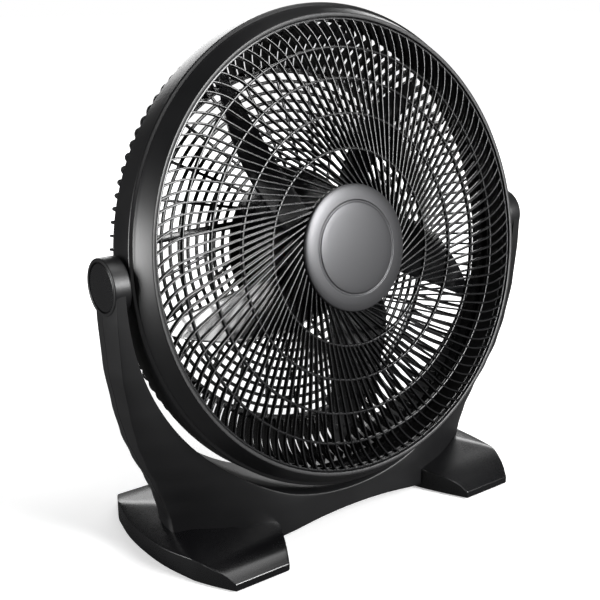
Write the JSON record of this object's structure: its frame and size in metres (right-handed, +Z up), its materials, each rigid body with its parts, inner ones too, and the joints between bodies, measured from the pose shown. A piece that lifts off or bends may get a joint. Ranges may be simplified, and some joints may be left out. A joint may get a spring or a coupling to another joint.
{
  "type": "tilting floor fan",
  "caption": "Round high-velocity floor fan in black plastic, its head tilting between the arms of a low U-shaped stand with two broad feet.",
  "frame": {"origin": "centre of the bounding box on the floor", "axes": "+Z up, -Y the way the air leaves, +X to the right seen from the front"},
  "size_m": [0.5828, 0.256, 0.5913],
  "materials": {
    "stand_plastic": "satin, finely grained",
    "foot_plastic": "semi-gloss",
    "rim_plastic": "satin",
    "grille_plastic": "satin",
    "blade_plastic": "gloss",
    "badge_metal": "dark satin",
    "pad_rubber": "matte",
    "screw_steel": "zinc plated",
    "motor_aluminium": "as cast",
    "core_steel": "laminated",
    "winding_copper": "enamelled wire",
    "bearing_bronze": "sintered bronze",
    "capacitor_case": "moulded"
  },
  "bodies": {
    "stand": {"stand_front_shell": "stand_plastic", "stand_rear_shell": "stand_plastic", "left_foot": "foot_plastic", "right_foot": "foot_plastic", "foot_pads": "pad_rubber", "stand_screws": "screw_steel", "left_pivot_cap": "foot_plastic", "right_pivot_cap": "foot_plastic", "left_pivot_bolt": "screw_steel", "right_pivot_bolt": "screw_steel", "pivot_washers": "pad_rubber"},
    "head": {"rim_shell": "rim_plastic", "front_grille": "grille_plastic", "hub_badge": "badge_metal", "rear_grille": "grille_plastic", "grille_screws": "screw_steel", "motor_housing": "rim_plastic", "motor_front_bracket": "motor_aluminium", "motor_rear_bracket": "motor_aluminium", "stator_core": "core_steel", "stator_windings": "winding_copper", "front_bearing": "bearing_bronze", "rear_bearing": "bearing_bronze", "capacitor": "capacitor_case", "speed_switch": "capacitor_case", "dial_plate": "badge_metal", "cord_gland": "pad_rubber", "motor_screws": "screw_steel"},
    "rotor": {"fan_blade": "blade_plastic", "rotor_shaft": "core_steel", "rotor_core": "core_steel", "blade_nut": "blade_plastic"},
    "knob": {"speed_knob": "foot_plastic"}
  },
  "joints": [
    {"name": "head_tilt", "type": "hinge", "parent": "stand", "child": "head", "pos_m": [0, -0.023, 0.324], "axis": [-1, 0, 0], "range_deg": [-20, 80]},
    {"name": "fan_spin", "type": "hinge", "parent": "head", "child": "rotor", "pos_m": [0, -0.02345, 0.32144], "axis": [0, -0.9848, 0.1736], "continuous": true},
    {"name": "knob_turn", "type": "hinge", "parent": "head", "child": "knob", "pos_m": [0, 0.07503, 0.30407], "axis": [0, 0.9848, -0.1736], "range_deg": [0, 135]}
  ]
}
